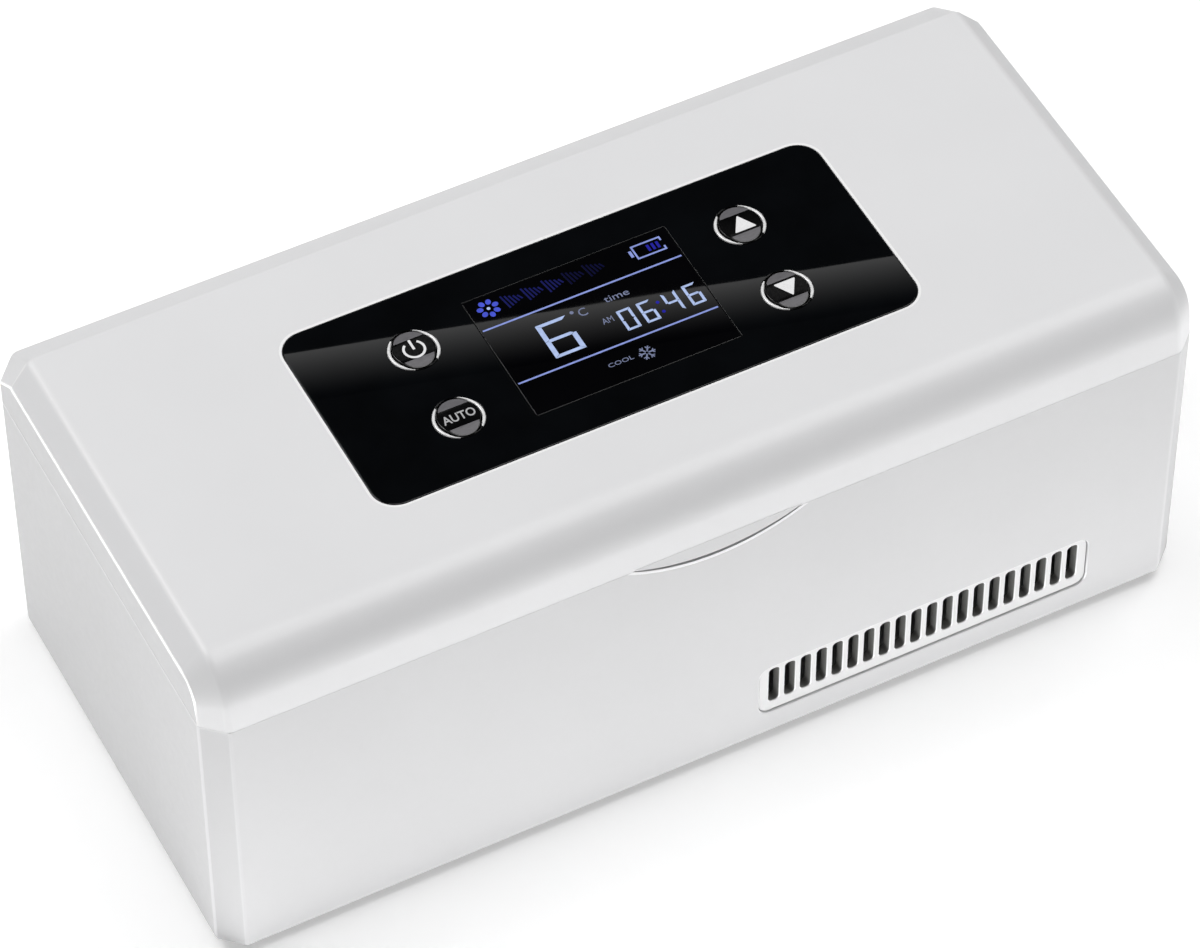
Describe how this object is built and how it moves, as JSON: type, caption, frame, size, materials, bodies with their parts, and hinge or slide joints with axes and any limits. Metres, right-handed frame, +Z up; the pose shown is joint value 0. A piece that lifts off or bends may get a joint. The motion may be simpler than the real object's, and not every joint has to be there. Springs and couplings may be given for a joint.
{
  "type": "insulin cooling case",
  "caption": "Portable thermoelectric cooling case for insulin: white box with a rear-hinged lid, black control panel with display and keys, cold chamber, fan-cooled heat sink and battery.",
  "frame": {"origin": "middle of the footprint, hinge knuckles included, on the surface that the feet stand on", "axes": "+X along the case to the right as seen from the front, -Y towards the front with the pull lip, +Z up"},
  "size_m": [0.212, 0.1006, 0.0835],
  "materials": {
    "pearl_white": "satin pearl white moulded shell",
    "white_plastic": "fine-grained white moulding",
    "panel_black": "polished black acrylic",
    "display_glass": "dark polished display window",
    "black_plastic": "matt black moulding",
    "chrome": "bright plated trim",
    "steel": "plated steel",
    "aluminium": "satin aluminium",
    "rubber": "soft grey rubber",
    "foam": "moulded insulation foam",
    "ceramic": "white alumina plates",
    "circuit_board": "green solder mask",
    "battery_wrap": "blue shrink wrap",
    "cable_jacket": "red insulated lead"
  },
  "bodies": {
    "case": {"main_housing": "pearl_white", "bottom_cover": "white_plastic", "front_vent_grille": "pearl_white", "rear_vent_grille": "pearl_white", "foot_1": "rubber", "foot_2": "rubber", "foot_3": "rubber", "foot_4": "rubber", "bottom_screw_1": "steel", "bottom_screw_2": "steel", "bottom_screw_3": "steel", "bottom_screw_4": "steel", "hinge_pin_left": "steel", "hinge_pin_right": "steel", "fan_housing": "black_plastic", "heat_sink": "aluminium", "peltier_module": "ceramic", "cold_block": "aluminium", "chamber_liner": "aluminium", "insulation_foam": "foam", "top_deck": "white_plastic", "chamber_gasket": "rubber", "temperature_sensor": "steel", "case_magnet_left": "steel", "case_magnet_right": "steel", "battery_holder": "black_plastic", "battery_cell_1": "battery_wrap", "battery_cell_2": "battery_wrap", "power_board": "circuit_board", "dc_jack": "black_plastic", "fan_cable": "cable_jacket", "cooler_cable": "cable_jacket", "battery_cable": "cable_jacket"},
    "lid": {"lid_shell": "pearl_white", "lid_inner_cover": "white_plastic", "lid_insulation": "foam", "control_panel": "panel_black", "display_window": "display_glass", "lcd_module": "black_plastic", "key_board": "circuit_board", "lid_screw_1": "steel", "lid_screw_2": "steel", "lid_screw_3": "steel", "lid_screw_4": "steel", "lid_magnet_left": "steel", "lid_magnet_right": "steel", "power_ring": "chrome", "auto_ring": "chrome", "up_ring": "chrome", "down_ring": "chrome", "power_switch": "black_plastic", "auto_switch": "black_plastic", "up_switch": "black_plastic", "down_switch": "black_plastic"},
    "fan": {"fan_rotor": "black_plastic"},
    "power_key": {"power_button": "panel_black"},
    "auto_key": {"auto_button": "panel_black"},
    "up_key": {"up_button": "panel_black"},
    "down_key": {"down_button": "panel_black"}
  },
  "joints": [
    {"name": "lid_hinge", "type": "hinge", "parent": "case", "child": "lid", "pos_m": [0, 0.04775, 0.069], "axis": [-1, 0, 0], "range_deg": [0, 100]},
    {"name": "fan_spin", "type": "hinge", "parent": "case", "child": "fan", "pos_m": [0.0462, -0.00125, 0.0097], "axis": [0, 0, 1], "continuous": true},
    {"name": "power_press", "type": "slide", "parent": "lid", "child": "power_key", "axis": [0, 0, -1], "range_m": [0, 0.0006], "stiffness_N_per_m": 800},
    {"name": "auto_press", "type": "slide", "parent": "lid", "child": "auto_key", "axis": [0, 0, -1], "range_m": [0, 0.0006], "stiffness_N_per_m": 800},
    {"name": "up_press", "type": "slide", "parent": "lid", "child": "up_key", "axis": [0, 0, -1], "range_m": [0, 0.0006], "stiffness_N_per_m": 800},
    {"name": "down_press", "type": "slide", "parent": "lid", "child": "down_key", "axis": [0, 0, -1], "range_m": [0, 0.0006], "stiffness_N_per_m": 800}
  ]
}
